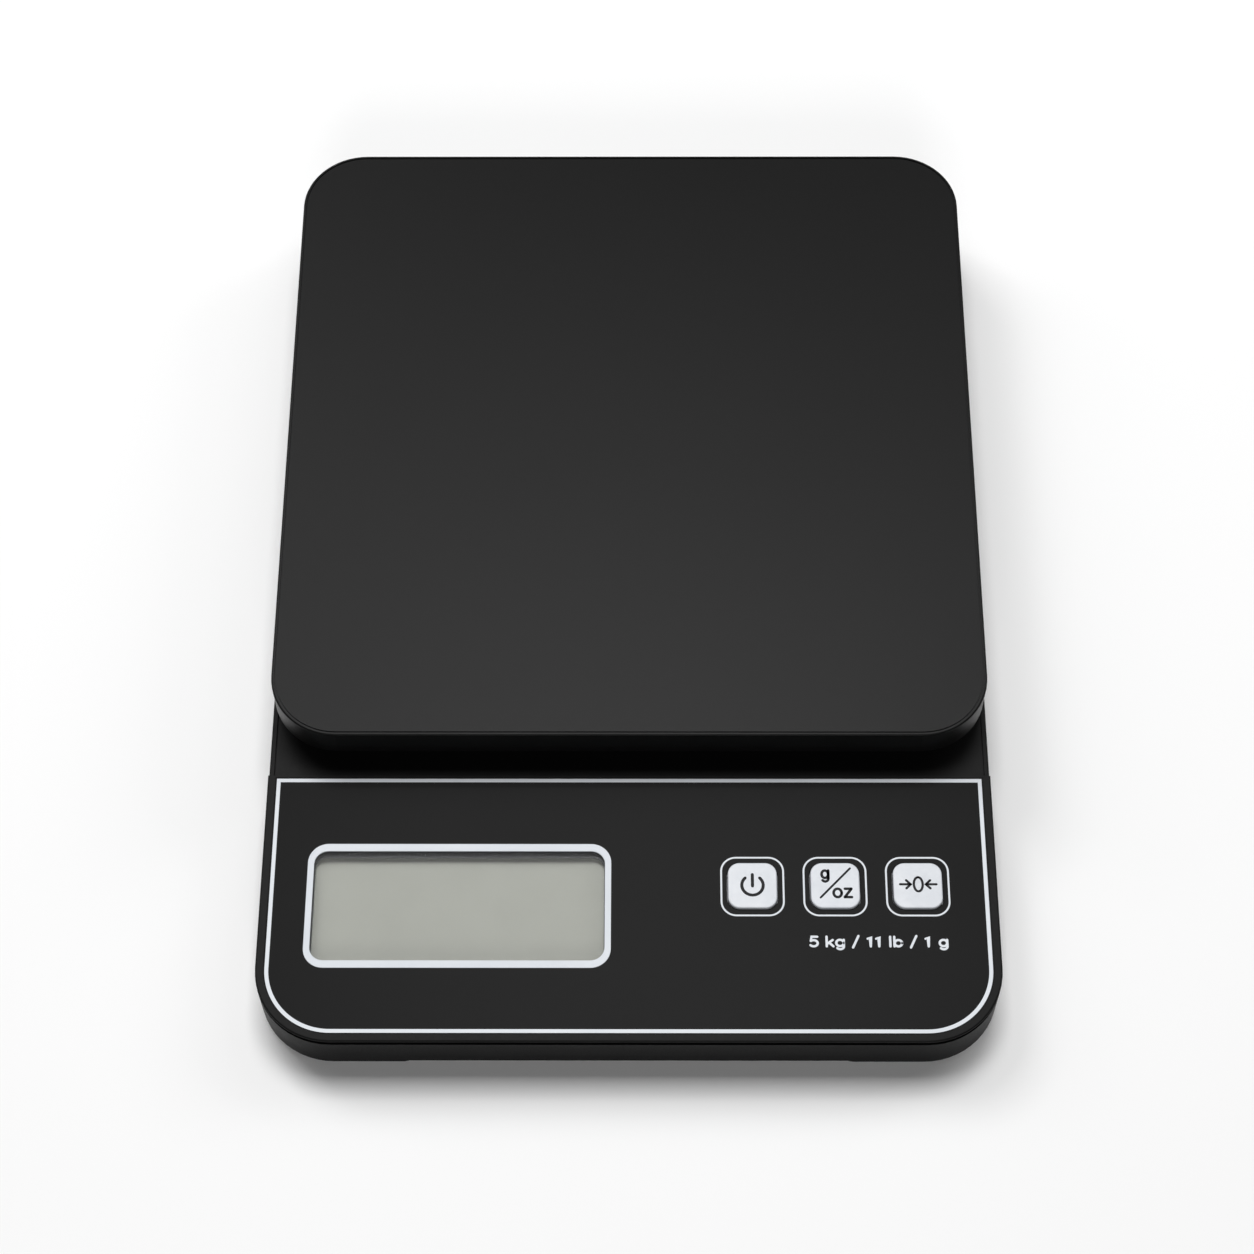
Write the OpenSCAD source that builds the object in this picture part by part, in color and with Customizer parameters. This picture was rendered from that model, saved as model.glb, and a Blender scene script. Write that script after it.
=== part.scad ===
// Flat digital kitchen scale: a square platter on a bending bar, over a base with a control strip.
// Origin: centre of the footprint on the table. +Z up, +Y to the rear, control strip towards -Y.

/* [Base] */
// Width of the base
base_w = 167; // [162:1:185]
// Length of the base, front to rear
base_l = 235; // [234:0.5:255]
// Height of the base's outer wall
base_h = 12.5; // [12.5:0.1:15]
// Corner radius of the base, seen from above
base_r = 17.5; // [14:0.5:20]
// Wall thickness of both covers
shell_t = 1.8; // [1.6:0.05:1.9]
// Rounding along the top edges of the base and the platter
edge_r = 0.4; // [0.3:0.05:1.2]
// How far the rear deck lies below the control strip
deck_drop = 0.4; // [0.2:0.05:0.6]
// How far the rear deck's wall stands inside the control strip's wall
deck_inset = 0.2; // [0.1:0.05:0.4]
// Distance of the deck's groove from the deck's outer edge
deck_groove_in = 1.1; // [0.9:0.05:1.6]
// Depth of the deck's groove
deck_groove_d = 0.7; // [0.2:0.05:0.8]
// Height of the rim that stands over the shadow groove round the control strip
rim_h = 0.45; // [0.3:0.05:0.6]
// Height of the shadow groove
shadow_h = 1.5; // [0.5:0.1:2.5]
// Depth of the shadow groove into the wall
shadow_d = 0.9; // [0.4:0.05:1]
// Width of the shallow relief under the front wall
relief_w = 98; // [60:1:110]
// Height of the shallow relief under the front wall
relief_h = 0.6; // [0.3:0.1:1]

/* [Platter] */
// Width of the platter
platter_w = 165; // [155:1:180]
// Length of the platter
platter_l = 165; // [150:1:165]
// Height of the platter's outer wall
platter_h = 8.2; // [8:0.1:10]
// Corner radius of the platter
platter_r = 15.5; // [10:0.5:20]
// Thickness of the platter's top and walls
platter_t = 1.8; // [1.4:0.1:2.2]
// Height from the control strip to the platter's lower edge
platter_gap = 5; // [4.8:0.1:7]
// Distance from the platter's rear edge to the base's rear edge
platter_margin = 1.2; // [0.5:0.1:4]
// Half the spacing of the pegs that carry the platter
peg_half = 52; // [46:1:56]
// Radius of each peg
peg_r = 2.2; // [1.6:0.1:2.6]
// Radius of the boss above each peg
boss_r = 4.5; // [3.5:0.1:5.5]
// Depth of the ribs under the platter
rib_h = 3.6; // [2:0.1:4.2]
// Thickness of the ribs under the platter
rib_t = 1.2; // [0.8:0.1:1.6]
// Distance of the ribs from the platter's centre lines
rib_half = 26; // [20:1:30]
// Distance of the platter's fine groove from its outer edge
groove_in = 0.65; // [0.5:0.05:1.6]
// Width of the fine grooves on platter and deck
groove_w = 0.35; // [0.2:0.05:0.5]
// Depth of the platter's fine groove
groove_d = 0.3; // [0.1:0.05:0.5]

/* [Control strip] */
// Distance from the platter's front edge to the step behind the control strip
step_gap = 3.8; // [2:0.1:6]
// Thickness of the film on the control strip
film_t = 0.3; // [0.2:0.05:0.4]
// Distance from the film's sides to the base's sides
film_side = 1.9; // [1.5:0.1:3]
// Distance from the film's front to the base's front
film_front = 1.9; // [1.3:0.1:3]
// Distance from the film's rear edge to the step
film_rear = 0.6; // [0.4:0.1:1.5]
// Play round the film, the bezel and the window
trim_gap = 0.08; // [0.05:0.01:0.15]

/* [Display] */
// Outer width of the white bezel
bezel_w = 69; // [62:0.2:72]
// Outer depth of the white bezel
bezel_d = 30.2; // [26:0.2:32]
// Corner radius of the bezel
bezel_r = 4.6; // [3.5:0.1:5.5]
// Width of the bezel's band at the sides
bezel_side = 1.4; // [1.2:0.05:2]
// Width of the bezel's band at the front and rear
bezel_end = 1.75; // [1.6:0.05:2.6]
// How far the bezel stands above the strip
bezel_rise = 0.15; // [0.05:0.05:0.3]
// Distance from the bezel to the base's left side
bezel_margin = 10.5; // [9:0.1:12]
// Thickness of the clear window
lens_t = 1; // [0.8:0.05:1.1]
// How far the window's edge lies inside the bezel's outer edge
lens_in = 0.5; // [0.5:0.05:0.9]
// Width of the ledge that carries the window
lens_ledge = 0.9; // [0.9:0.05:1.5]
// Thickness of the display glass
lcd_t = 2.5; // [2.2:0.1:2.8]
// How far the display glass reaches past the window's opening
lcd_over = 2.2; // [2.2:0.1:3]
// Distance from the strip's ceiling down to the display glass
lcd_gap = 1; // [0.6:0.05:1]
// Wall thickness of the display holder
holder_t = 1.2; // [0.8:0.1:1.4]
// Height of the rubber connector strips
zebra_h = 2; // [1.8:0.1:2.1]
// Width of the rubber connector strips
zebra_w = 2; // [1.4:0.1:2.4]

/* [Buttons] */
// Side of each square button
button_w = 11.1; // [10:0.1:12]
// Corner radius of each button
button_r = 2.7; // [2:0.1:3.5]
// Rounding along each button's top edge
button_edge = 0.3; // [0.2:0.05:0.7]
// How far the buttons stand above the strip
button_rise = 0.7; // [0.5:0.05:1.2]
// Spacing of the buttons
button_pitch = 18.7; // [17:0.1:19]
// Distance from the last button's centre to the base's right side
button_margin = 18.1; // [16:0.1:20]
// How far the buttons lie behind the strip's centre line
button_back = 4.7; // [2:0.1:6]
// Play round each button
button_gap = 0.25; // [0.15:0.05:0.35]
// Thickness of the flange that keeps a button in
flange_t = 0.9; // [0.6:0.1:1]
// How far the flange reaches past the button
flange_over = 1; // [0.7:0.1:1.3]
// Travel of the buttons
button_travel = 0.3; // [0.2:0.05:0.4]

/* [Circuit board] */
// Distance from the circuit board to the side walls
board_side = 5.5; // [4.5:0.5:8.5]
// Depth of the circuit board
board_d = 46; // [44:0.5:46.5]
// Thickness of the circuit board
board_t = 1.6; // [1:0.1:1.6]
// Side of a tact switch
switch_w = 6; // [5.5:0.1:6.5]
// Height of a tact switch body
switch_h = 3.4; // [3:0.1:3.5]
// Radius of a switch plunger
plunger_r = 1.7; // [1.4:0.1:2]
// How far a plunger stands above its switch
plunger_rise = 0.8; // [0.6:0.05:0.9]

/* [Load cell] */
// Length of the bar
cell_l = 75; // [70:0.5:80]
// Width of the bar
cell_w = 12.7; // [11:0.1:14]
// Height of the bar
cell_h = 6.4; // [5.6:0.1:6.6]
// Radius of the two cross bores
cell_bore_r = 2.6; // [2:0.05:2.7]
// Half the spacing of the cross bores
cell_bore_half = 6; // [4:0.5:8]
// Distance of the outer screw from the bar's end
cell_screw_in = 5; // [4:0.5:6]
// Spacing of the two screws at one end
cell_screw_pitch = 10; // [8:0.5:11]
// Height of the pad under the fixed end
pad_h = 1.2; // [1:0.1:1.4]
// Height of the sealant over the strain gauges
potting_h = 0.6; // [0.4:0.05:0.7]

/* [Platter frame] */
// Clearance under the frame's hub
hub_gap = 0.8; // [0.7:0.05:1.2]
// Step from the hub's underside to the arms
hub_drop = 1.4; // [1:0.1:1.8]
// Thickness of the arms
arm_t = 2; // [1.6:0.1:2.4]
// Width of the arms
arm_w = 14; // [10:0.5:18]
// Radius of the seat at each arm's end
seat_r = 8.5; // [7.5:0.5:10]
// Radius of a bush's neck in its seat
bush_r = 4; // [3.4:0.1:4.4]
// Radius of a bush's flanges
bush_flange_r = 6; // [5:0.1:7]
// Thickness of a bush's flanges
bush_flange_t = 1; // [0.7:0.1:1.1]
// Gap at the overload stops
stop_gap = 0.6; // [0.55:0.05:0.8]
// Radius of an overload stop
stop_r = 3.5; // [2.5:0.5:5]
// Distance of each stop from the platter's centre, along both axes
stop_half = 34; // [30:1:38]

/* [Batteries] */
// Diameter of a battery
battery_d = 10.5; // [9.5:0.1:10.8]
// Length of a battery with its nub
battery_len = 44.5; // [40:0.1:46]
// Play round each battery
battery_play = 0.4; // [0.3:0.05:0.5]
// Length of a battery spring, pressed in
spring_l = 5; // [3.5:0.1:6]
// Radius of a battery spring's wire
spring_wire_r = 0.35; // [0.25:0.05:0.45]
// Thickness of the metal contacts
contact_t = 0.5; // [0.3:0.05:0.6]
// Height of the dimple on a flat contact
dimple_h = 1.5; // [1:0.1:2]
// Wall thickness of the battery box
bay_t = 1.4; // [1.2:0.1:1.6]
// Distance from the battery box's centre to the base's rear
bay_margin = 25.3; // [24:0.1:28]
// Width of the ledge round the battery door
door_ledge = 0.8; // [0.6:0.05:1]
// Play round the battery door
door_gap = 0.25; // [0.2:0.05:0.35]
// Width of each door hook
hook_w = 6; // [4:0.5:8]
// Reach of each door hook past the door's edge
hook_l = 1.8; // [1.2:0.1:2]
// Thickness of each door hook
hook_t = 1.1; // [0.8:0.1:1.2]
// Width of the door's latch tongue
latch_w = 14; // [10:0.5:18]

/* [Feet and screws] */
// Height of the feet under the base
foot_h = 2; // [1.6:0.1:3]
// Radius of a foot
foot_r = 6; // [5:0.5:8]
// Distance of the feet from the base's sides, front and rear
foot_in = 18; // [16:0.5:20]
// Depth of each foot's recess
foot_recess = 0.8; // [0.5:0.1:1]
// Radius of the housing screws' thread
case_screw_r = 1.3; // [1.1:0.05:1.5]
// Radius of the board screws' thread
board_screw_r = 1; // [0.8:0.05:1.1]
// Radius of the load cell screws' thread
cell_screw_r = 1.5; // [1.2:0.05:1.6]
// Play round every thread
thread_gap = 0.05; // [0.03:0.01:0.1]
// Radius of a lead
lead_r = 0.4; // [0.3:0.05:0.4]

/* [Hidden] */
$fn = 64;

// Levels, from the table up
z_bottom = foot_h;
z_floor = z_bottom + shell_t;
z_top = z_bottom + base_h;
z_under = z_top - shell_t;
z_deck = z_top - deck_drop;
z_deck_under = z_deck - shell_t;
z_skirt = z_top + platter_gap;
z_weigh = z_skirt + platter_h;
z_platter_under = z_weigh - platter_t;
z_film = z_top - film_t;
z_lens = z_film - lens_t;
z_lcd_top = z_under - lcd_gap;
z_lcd = z_lcd_top - lcd_t;
z_board_top = z_lcd - zebra_h;
z_board = z_board_top - board_t;
z_plunger_top = z_board_top + switch_h + plunger_rise;
z_cell = z_floor + pad_h;
z_cell_top = z_cell + cell_h;
z_hub = z_deck + hub_gap;
z_arm = z_hub + hub_drop;
z_arm_top = z_arm + arm_t;
z_bush_top = z_arm_top + bush_flange_t;

// Places, seen from above
front_y = -base_l / 2;
platter_y = base_l / 2 - platter_margin - platter_l / 2;
step_y = platter_y - platter_l / 2 - step_gap;
strip_y = (front_y + step_y) / 2;
bezel_x = -base_w / 2 + bezel_margin + bezel_w / 2;
button_y = strip_y + button_back;
bay_y = base_l / 2 - bay_margin;

// Display sizes
lens_w = bezel_w - 2 * lens_in;
lens_d = bezel_d - 2 * lens_in;
window_w = lens_w - 2 * lens_ledge;
window_d = lens_d - 2 * lens_ledge;
lcd_w = window_w + 2 * lcd_over;
lcd_d = window_d + 2 * lcd_over;
holder_gap = 0.1;
holder_lip = 1.2;
seat_play = 0.05;
lens_r = bezel_r - lens_in;
window_r = lens_r - lens_ledge;

// Screws
head_t = 1.4;
case_head_r = 2.5;
board_head_r = 2;
cell_head_r = 2.75;
frame_head_t = 1.9;
head_gap = 0.2;
case_boss_r = 3.2;
board_boss_r = 3;
case_pad_h = 1.2;
case_side_gap = 4.3;
case_end_gap = 0.5;
case_step_gap = 4.5;
case_rear_in = 18;
case_in = shell_t + deck_inset + case_boss_r;
case_x = base_w / 2 - case_in - case_side_gap;
case_places = [
    for (sx = [-1, 1]) [sx * case_x, step_y + case_step_gap],
    for (sx = [-1, 1]) [sx * case_x, platter_y],
    for (sx = [-1, 1]) [sx * (case_x - case_rear_in), base_l / 2 - case_in - case_end_gap],
    for (sx = [-1, 1]) [sx * case_x / 2, front_y + case_in + case_end_gap]
];
case_screw_l = 6.5;
case_hole_l = 7;
board_w = base_w - 2 * (shell_t + deck_inset + board_side);
board_screw_in = 3.2;
board_rear_in = 2.6;
board_screw_l = 3.6;
board_hole_l = 4.5;
board_right = board_w / 2 - board_screw_in;
board_rear = strip_y + board_d / 2 - board_rear_in;
board_front = strip_y - board_d / 2 + board_screw_in;
board_mid = bezel_x + lcd_w / 2 + holder_t + board_boss_r + 2;
board_places = [[board_right, board_rear], [-board_right, board_rear], [board_right, board_front],
    [board_mid, board_front]];

// Battery box
bay_w = battery_len + spring_l + dimple_h + 2 * contact_t;
bay_d = 2 * battery_d + 3 * battery_play;
battery_z = z_floor + head_gap + battery_d / 2;
bay_ceiling = battery_z + battery_d / 2 + head_gap;
bay_roof_t = 1.2;
bay_top = bay_ceiling + bay_roof_t;
bay_gap = 0.2;
hump_w = bay_w + 2 * bay_t + 2 * bay_gap;
hump_d = bay_d + 2 * bay_t + 2 * bay_gap;
door_w = bay_w + 2 * door_ledge - 2 * door_gap;
door_d = bay_d + 2 * door_ledge - 2 * door_gap;
door_front_y = bay_y - bay_d / 2 - door_ledge;
hook_x = bay_w / 4;
hook_gap = 0.1;
hook_play = 0.3;
battery_row = (battery_d + battery_play) / 2;
lead_hole_r = 1.6;
terminal_rise = 1.5;
terminal_z = battery_z + terminal_rise;

// Small parts
weld = 0.5;
cover_gap = 0.15;
foot_edge = 0.8;
cell_pad_w = cell_screw_in * 2 + cell_screw_pitch;
cell_end = cell_l / 2 - cell_pad_w / 2;
cell_slot_h = 1.4;
opening_gap = 1.4;
spacer_l = cell_pad_w;
gauge_w = 5;
gauge_t = 0.15;
frame_rib_h = 2.4;
frame_rib_w = 1.6;
latch_slot = 1;
latch_len = 8;
finger_d = 1;
blob_r = 6;
blob_h = 1.6;
crystal_r = 1.5;
crystal_l = 8;
capacitor_r = 2.5;
capacitor_h = 4.2;
resistor = [2, 1.2, 0.6];
resistor_pitch = 5;
resistor_y = strip_y + board_d / 2 - 4.5;
parts_y = strip_y - board_d / 4 - 3;
relief_slope = 2;
socket_d = 2;
button_wall = 1.2;
contact_w = battery_d - 1.5;
contact_nub_r = 1.8;
tab_w = 1.6;
tab_l = 0.8;
battery_nub = 1;
battery_nub_share = 0.36;
grip_d = 0.4;
grip_pitch = 1.6;
lead_z = z_floor + lead_r + 0.15;
lead_step = 2 * lead_r + 0.5;
tab_x = -bay_w / 2 - bay_t - tab_l;
black = "#232323";
white = "#e4e7ec";
steel = "#b9bcc0";

function button_x(i) = base_w / 2 - button_margin - (2 - i) * button_pitch;
function unit(v) = v / norm(v);

// ---- Shared shapes ----

module at_corners(dx, dy) {
    for (sx = [-1, 1], sy = [-1, 1])
        translate([sx * dx, sy * dy, 0]) children();
}

module rounded_rect(w, l, r) {
    square([w - 2 * r, l], center = true);
    square([w, l - 2 * r], center = true);
    at_corners(w / 2 - r, l / 2 - r) circle(r);
}

module plate(w, l, r, h) {
    linear_extrude(h) rounded_rect(w, l, r);
}

// Half of a slab's cross-section, with its upper outer corner rounded
module edge_profile(reach, h, e) {
    square([reach - e, h]);
    square([reach, h - e]);
    translate([reach - e, h - e]) circle(e);
}

// Slab with round corners in plan and a rounded top edge
module soft_slab(w, l, r, h, e) {
    inner_w = w - 2 * r;
    inner_l = l - 2 * r;
    linear_extrude(h) square([inner_w, inner_l], center = true);
    for (side = [0, 1]) rotate(side * 180) {
        translate([inner_w / 2, inner_l / 2, 0]) rotate([90, 0, 0]) linear_extrude(inner_l)
            edge_profile(r, h, e);
        translate([-inner_w / 2, inner_l / 2, 0]) rotate([90, 0, 90]) linear_extrude(inner_w)
            edge_profile(r, h, e);
        translate([inner_w / 2, inner_l / 2, 0]) rotate_extrude(angle = 90) edge_profile(r, h, e);
        translate([-inner_w / 2, inner_l / 2, 0]) rotate(90) rotate_extrude(angle = 90)
            edge_profile(r, h, e);
    }
}

// Band between a rounded rectangle and another one inside it
module ring(w, l, r, in, width) {
    difference() {
        rounded_rect(w - 2 * in, l - 2 * in, r - in);
        rounded_rect(w - 2 * in - 2 * width, l - 2 * in - 2 * width, r - in - width);
    }
}

module ring_groove(w, l, r, top, in, depth) {
    translate([0, 0, top - depth]) linear_extrude(depth + 1) ring(w, l, r, in, groove_w);
}

// Screw with its head down at z = 0, threaded end upwards
module screw(thread_r, length, head_r, head_h) {
    slot_w = head_r * 0.28;
    slot_l = head_r * 1.2;
    difference() {
        union() {
            cylinder(r = head_r, h = head_h);
            cylinder(r = thread_r, h = head_h + length);
        }
        for (a = [0, 90]) rotate(a)
            translate([-slot_l / 2, -slot_w / 2, -1]) cube([slot_l, slot_w, 1 + head_h * 0.6]);
    }
}

// Round tube through a list of points
module tube(points, r) {
    sides = 8;
    last = len(points) - 1;
    rings = [for (i = [0:last])
        let (t = unit(points[min(i + 1, last)] - points[max(i - 1, 0)]),
            u = unit(cross(t, [0.21, 0.13, 1])), v = cross(t, u))
        for (k = [0:sides - 1])
            points[i] + r * (cos(360 * k / sides) * u + sin(360 * k / sides) * v)];
    faces = [[for (k = [0:sides - 1]) k], [for (k = [sides - 1:-1:0]) last * sides + k],
        for (i = [0:last - 1], k = [0:sides - 1])
            [i * sides + k, (i + 1) * sides + k, (i + 1) * sides + (k + 1) % sides,
                i * sides + (k + 1) % sides]];
    polyhedron(rings, faces, convexity = 6);
}

// Smooth curve through hand-placed points, four steps to a span
function curve_point(a, b, c, d, t) = 0.5 * (2 * b + (c - a) * t + (2 * a - 5 * b + 4 * c - d) * t * t
    + (3 * b - a - 3 * c + d) * t * t * t);
function smooth(p) = let (n = len(p) - 1, steps = 4) [
    for (i = [0:n - 1], s = [0:steps - 1])
        curve_point(p[max(i - 1, 0)], p[i], p[i + 1], p[min(i + 2, n)], s / steps),
    p[n]];

// ---- Base ----

module strip_outline(side, front, rear) {
    w = base_w - 2 * side;
    r = base_r - side;
    length = step_y - rear - front_y - front;
    translate([0, front_y + front]) {
        translate([-w / 2 + r, 0]) square([w - 2 * r, length]);
        translate([-w / 2, r]) square([w, length - r]);
        for (sx = [-1, 1]) translate([sx * (w / 2 - r), r]) circle(r);
    }
}

// Everything in front of the step, less a wall's thickness if given
module front_half(wall = 0) {
    translate([-base_w, front_y - 1, -1])
        cube([2 * base_w, step_y - wall - front_y + 1, 2 * z_weigh]);
}

module rear_half() {
    translate([-base_w, step_y, -1]) cube([2 * base_w, base_l, 2 * z_weigh]);
}

module cover_outside() {
    translate([0, 0, z_bottom]) {
        intersection() {
            soft_slab(base_w, base_l, base_r, base_h, edge_r);
            front_half();
        }
        soft_slab(base_w - 2 * deck_inset, base_l, base_r, base_h - deck_drop, edge_r);
    }
    translate([0, bay_y, z_deck - shell_t])
        linear_extrude(bay_top + bay_gap + shell_t - z_deck + shell_t)
            rounded_rect(hump_w + 2 * shell_t, hump_d + 2 * shell_t, 3);
}

module cover_inside() {
    in = shell_t + deck_inset;
    translate([0, 0, z_bottom - 1]) plate(base_w - 2 * in, base_l - 2 * in, base_r - in,
        z_deck_under - z_bottom + 1);
    intersection() {
        translate([0, 0, z_bottom]) plate(base_w - 2 * in, base_l - 2 * in, base_r - in,
            z_under - z_bottom);
        front_half(shell_t);
    }
    translate([0, bay_y, z_deck_under - 1])
        linear_extrude(bay_top + bay_gap - z_deck_under + 1) rounded_rect(hump_w, hump_d, 1.2);
}

module display_pocket() {
    translate([bezel_x, strip_y, 0]) {
        translate([0, 0, z_lens]) plate(lens_w + 2 * trim_gap, lens_d + 2 * trim_gap,
            lens_r + trim_gap, lens_t + 1);
        translate([0, 0, z_under - 1]) plate(window_w, window_d, window_r, shell_t + 2);
    }
}

module button_holes(gap, z, h) {
    w = button_w + 2 * gap;
    for (i = [0:2]) translate([button_x(i), button_y, z]) plate(w, w, button_r + gap, h);
}

// Groove in the strip's outer wall, under its rim
module shadow_groove() {
    intersection() {
        translate([0, 0, z_top - rim_h - shadow_h]) linear_extrude(shadow_h)
            ring(base_w + 2, base_l + 2, base_r + 1, 0, shadow_d + 1);
        front_half(shell_t);
    }
}

module relief_shape() {
    top = relief_w / 2;
    foot = top + relief_h * relief_slope;
    polygon([[-foot, -1], [-foot, 0], [-top, relief_h], [top, relief_h], [foot, 0], [foot, -1]]);
}

module top_cover() color(black) {
    difference() {
        union() {
            difference() {
                cover_outside();
                cover_inside();
            }
            for (p = case_places) translate([p[0], p[1], z_floor + case_pad_h])
                cylinder(r = case_boss_r, h = z_deck_under + weld - z_floor - case_pad_h);
            for (p = board_places) translate([p[0], p[1], z_board_top])
                cylinder(r = board_boss_r, h = z_under + weld - z_board_top);
            translate([0, platter_y, z_deck - weld]) at_corners(stop_half, stop_half)
                cylinder(r = stop_r, h = z_arm - stop_gap - z_deck + weld);
        }
        translate([0, 0, z_film]) linear_extrude(film_t + 1)
            strip_outline(film_side - trim_gap, film_front - trim_gap, film_rear - trim_gap);
        display_pocket();
        button_holes(button_gap, z_under - 1, shell_t + 2);
        intersection() {
            ring_groove(base_w - 2 * deck_inset, base_l, base_r, z_deck, deck_groove_in, deck_groove_d);
            rear_half();
        }
        shadow_groove();
        translate([cell_end, platter_y, z_deck_under - 1])
            plate(spacer_l + 2 * opening_gap, cell_w + 2 * opening_gap, 1.5, shell_t + 2);
        for (p = case_places) translate([p[0], p[1], z_floor + case_pad_h - 1])
            cylinder(r = case_screw_r + thread_gap, h = case_hole_l);
        for (p = board_places) translate([p[0], p[1], z_board_top - 1])
            cylinder(r = board_screw_r + thread_gap, h = board_hole_l + 1);
        translate([0, front_y + shell_t * 2, z_bottom]) rotate([90, 0, 0])
            linear_extrude(shell_t * 3) relief_shape();
    }
}

module feet_places() {
    at_corners(base_w / 2 - foot_in, base_l / 2 - foot_in) children();
}

module bay_walls() {
    translate([0, bay_y, 0]) difference() {
        translate([0, 0, z_floor - weld]) plate(bay_w + 2 * bay_t, bay_d + 2 * bay_t, 1,
            bay_top - z_floor + weld);
        translate([-bay_w / 2, -bay_d / 2, z_floor - 1])
            cube([bay_w, bay_d, bay_ceiling - z_floor + 1]);
    }
}

module bottom_cover() color(black) {
    in = shell_t + deck_inset + cover_gap;
    slot_top = z_bottom + norm([hook_l, shell_t + hook_t + hook_gap]) + hook_play;
    difference() {
        union() {
            translate([0, 0, z_bottom]) plate(base_w - 2 * in, base_l - 2 * in, base_r - in, shell_t);
            bay_walls();
            for (p = case_places) translate([p[0], p[1], z_floor - weld])
                cylinder(r = case_boss_r + 0.5, h = case_pad_h + weld);
            translate([-cell_end, platter_y, z_floor - weld])
                plate(cell_pad_w, cell_w, 1, pad_h + weld);
        }
        // battery door opening, with the ledge left inside it
        translate([-bay_w / 2 - door_ledge, door_front_y, z_bottom - 1])
            cube([bay_w + 2 * door_ledge, bay_d + 2 * door_ledge, shell_t + 1]);
        for (sx = [-1, 1]) translate([sx * hook_x - hook_w / 2 - hook_play,
            door_front_y - hook_l - hook_play, z_floor - 0.01])
            cube([hook_w + 2 * hook_play, hook_l + door_ledge + 3 * hook_play, slot_top - z_floor]);
        for (s = [-1, 1]) translate([-bay_w / 2 - bay_t / 2, bay_y + s * battery_row, terminal_z])
            rotate([0, 90, 0]) cylinder(r = lead_hole_r, h = bay_t * 2, center = true);
        // finger recess beside the latch
        translate([0, bay_y + bay_d / 2 + door_ledge, z_bottom - 1])
            cylinder(r = latch_w / 2, h = 1 + finger_d);
        for (p = case_places) translate([p[0], p[1], z_bottom - 1]) {
            cylinder(r = case_head_r + head_gap, h = 1 + head_t);
            cylinder(r = case_screw_r + head_gap, h = 9);
        }
        feet_places() translate([0, 0, z_bottom - 1]) cylinder(r = foot_r, h = foot_recess + 1);
        translate([-cell_end, platter_y, z_bottom - 1]) for (sx = [-1, 1])
            translate([sx * cell_screw_pitch / 2, 0, 0]) {
                cylinder(r = cell_head_r + head_gap, h = 1 + head_t + head_gap);
                cylinder(r = cell_screw_r + head_gap, h = 9);
            }
    }
}

module rubber_feet() color("#3a3a3a") {
    h = z_bottom + foot_recess;
    feet_places() rotate_extrude() union() {
        translate([0, foot_edge]) square([foot_r, h - foot_edge]);
        square([foot_r - foot_edge, h]);
        translate([foot_r - foot_edge, foot_edge]) intersection() {
            circle(foot_edge);
            translate([0, -foot_edge]) square([foot_edge, 2 * foot_edge]);
        }
    }
}

module housing_screws() color(steel) {
    for (p = case_places) translate([p[0], p[1], z_bottom])
        screw(case_screw_r, case_screw_l, case_head_r, head_t);
}

// ---- Control strip ----

module panel_overlay() color("#2b2b2b") {
    difference() {
        translate([0, 0, z_film]) linear_extrude(film_t)
            strip_outline(film_side, film_front, film_rear);
        translate([bezel_x, strip_y, z_film - 1]) plate(bezel_w + 2 * trim_gap,
            bezel_d + 2 * trim_gap, bezel_r + trim_gap, film_t + 2);
        button_holes(button_gap, z_film - 1, film_t + 2);
    }
}

module display_bezel() color(white) {
    translate([bezel_x, strip_y, z_film]) difference() {
        plate(bezel_w, bezel_d, bezel_r, film_t + bezel_rise);
        translate([0, 0, -1]) plate(bezel_w - 2 * bezel_side, bezel_d - 2 * bezel_end,
            bezel_r - bezel_side, film_t + bezel_rise + 2);
    }
}

module display_lens() color("#dfe6e4", 0.35) {
    translate([bezel_x, strip_y, z_lens]) plate(lens_w, lens_d, lens_r, lens_t);
}

module lcd_glass() color("#a9aba1") {
    translate([bezel_x, strip_y, z_lcd]) plate(lcd_w, lcd_d, 0.5, lcd_t);
}

module lcd_holder() color("#d8d8d4") {
    w = lcd_w + 2 * holder_gap;
    d = lcd_d + 2 * holder_gap;
    translate([bezel_x, strip_y, 0]) difference() {
        translate([0, 0, z_board_top]) plate(w + 2 * holder_t, d + 2 * holder_t, 1.5,
            z_under - seat_play - z_board_top);
        translate([0, 0, z_board_top - 1]) plate(w, d, 0.6, z_lcd_top - z_board_top + 1);
        translate([0, 0, z_lcd]) plate(w - 2 * holder_lip, d - 2 * holder_lip, 0.6, 20);
    }
}

module zebra_strips() color("#8d8f94") {
    for (sy = [-1, 1]) translate([bezel_x, strip_y + sy * (lcd_d / 2 - zebra_w / 2), z_board_top])
        translate([-lcd_w / 2 + 1, -zebra_w / 2, 0]) cube([lcd_w - 2, zebra_w, zebra_h]);
}

module main_board() color("#1f5a3a") {
    difference() {
        translate([0, strip_y, z_board]) plate(board_w, board_d, 2, board_t);
        for (p = board_places) translate([p[0], p[1], z_board - 1])
            cylinder(r = board_screw_r + head_gap, h = board_t + 2);
    }
}

module board_screws() color(steel) {
    for (p = board_places) translate([p[0], p[1], z_board - head_t])
        screw(board_screw_r, board_t + board_screw_l, board_head_r, head_t);
}

module chip_blob() color("#151515") {
    dome_r = (blob_r * blob_r + blob_h * blob_h) / (2 * blob_h);
    translate([button_x(0), parts_y, z_board_top]) rotate_extrude($fn = 256)
        intersection() {
            translate([0, blob_h - dome_r]) circle(dome_r, $fn = 256);
            square([blob_r + 1, blob_h + 1]);
        }
}

module crystal() color(steel) {
    translate([button_x(1) - crystal_l / 2, parts_y, z_board_top + crystal_r])
        rotate([0, 90, 0]) cylinder(r = crystal_r, h = crystal_l);
}

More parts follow.
